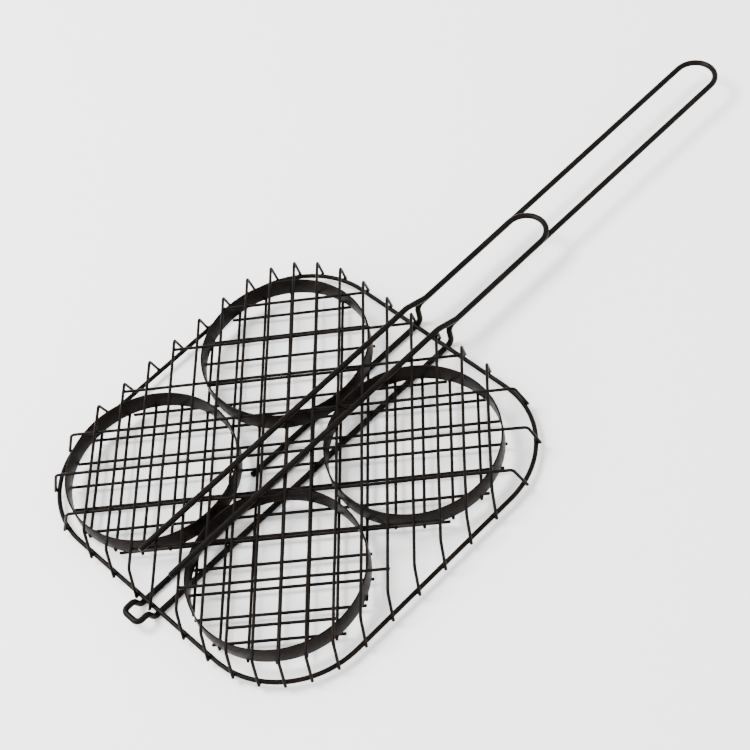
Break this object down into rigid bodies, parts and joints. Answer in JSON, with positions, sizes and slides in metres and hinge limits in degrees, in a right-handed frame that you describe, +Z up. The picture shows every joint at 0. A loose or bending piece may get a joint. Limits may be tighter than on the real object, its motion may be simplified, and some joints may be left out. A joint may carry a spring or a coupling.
{
  "type": "grill basket",
  "caption": "Hinged wire grill basket with round patty rings on a diagonal wire grid, a folded wire lid and two long loop handles.",
  "frame": {"origin": "under the middle of the whole length and of the lid's width, on the surface that the basket lies on", "axes": "+X towards the handles' tip, +Y to the left seen from the hinge, +Z up"},
  "size_m": [0.4992, 0.233, 0.0266],
  "materials": {
    "ring_coating": "satin black non-stick coating on steel strip",
    "wire_coating": "satin black non-stick coating on thin steel wire",
    "handle_coating": "satin black non-stick coating on thick steel wire"
  },
  "bodies": {
    "base": {"base_cross_wire_0": "wire_coating", "base_cross_wire_1": "wire_coating", "base_cross_wire_2": "wire_coating", "base_cross_wire_3": "wire_coating", "base_cross_wire_4": "wire_coating", "base_cross_wire_5": "wire_coating", "base_cross_wire_6": "wire_coating", "base_cross_wire_7": "wire_coating", "base_wire_0": "wire_coating", "base_wire_1": "wire_coating", "base_wire_2": "wire_coating", "base_wire_3": "wire_coating", "base_wire_4": "wire_coating", "base_wire_5": "wire_coating", "base_wire_6": "wire_coating", "base_wire_7": "wire_coating", "long_handle": "handle_coating", "ring_handle_left": "ring_coating", "ring_handle_right": "ring_coating", "ring_hinge_left": "ring_coating", "ring_hinge_right": "ring_coating"},
    "lid": {"lid_cross_wire_1": "wire_coating", "lid_cross_wire_2": "wire_coating", "lid_cross_wire_3": "wire_coating", "lid_cross_wire_4": "wire_coating", "lid_cross_wire_5": "wire_coating", "lid_cross_wire_6": "wire_coating", "lid_cross_wire_7": "wire_coating", "lid_cross_wire_8": "wire_coating", "lid_cross_wire_9": "wire_coating", "lid_rim": "wire_coating", "lid_wire_01": "wire_coating", "lid_wire_02": "wire_coating", "lid_wire_03": "wire_coating", "lid_wire_04": "wire_coating", "lid_wire_05": "wire_coating", "lid_wire_06": "wire_coating", "lid_wire_07": "wire_coating", "lid_wire_08": "wire_coating", "lid_wire_09": "wire_coating", "lid_wire_10": "wire_coating", "lid_wire_11": "wire_coating", "lid_wire_12": "wire_coating", "lid_wire_13": "wire_coating", "lid_wire_14": "wire_coating", "lid_wire_15": "wire_coating", "lid_wire_16": "wire_coating", "lid_wire_17": "wire_coating", "short_handle": "handle_coating"}
  },
  "joints": [
    {"name": "lid_hinge", "type": "hinge", "parent": "base", "child": "lid", "pos_m": [-0.2344, 0, 0.00515], "axis": [0, -1, 0], "range_deg": [0, 80]}
  ]
}
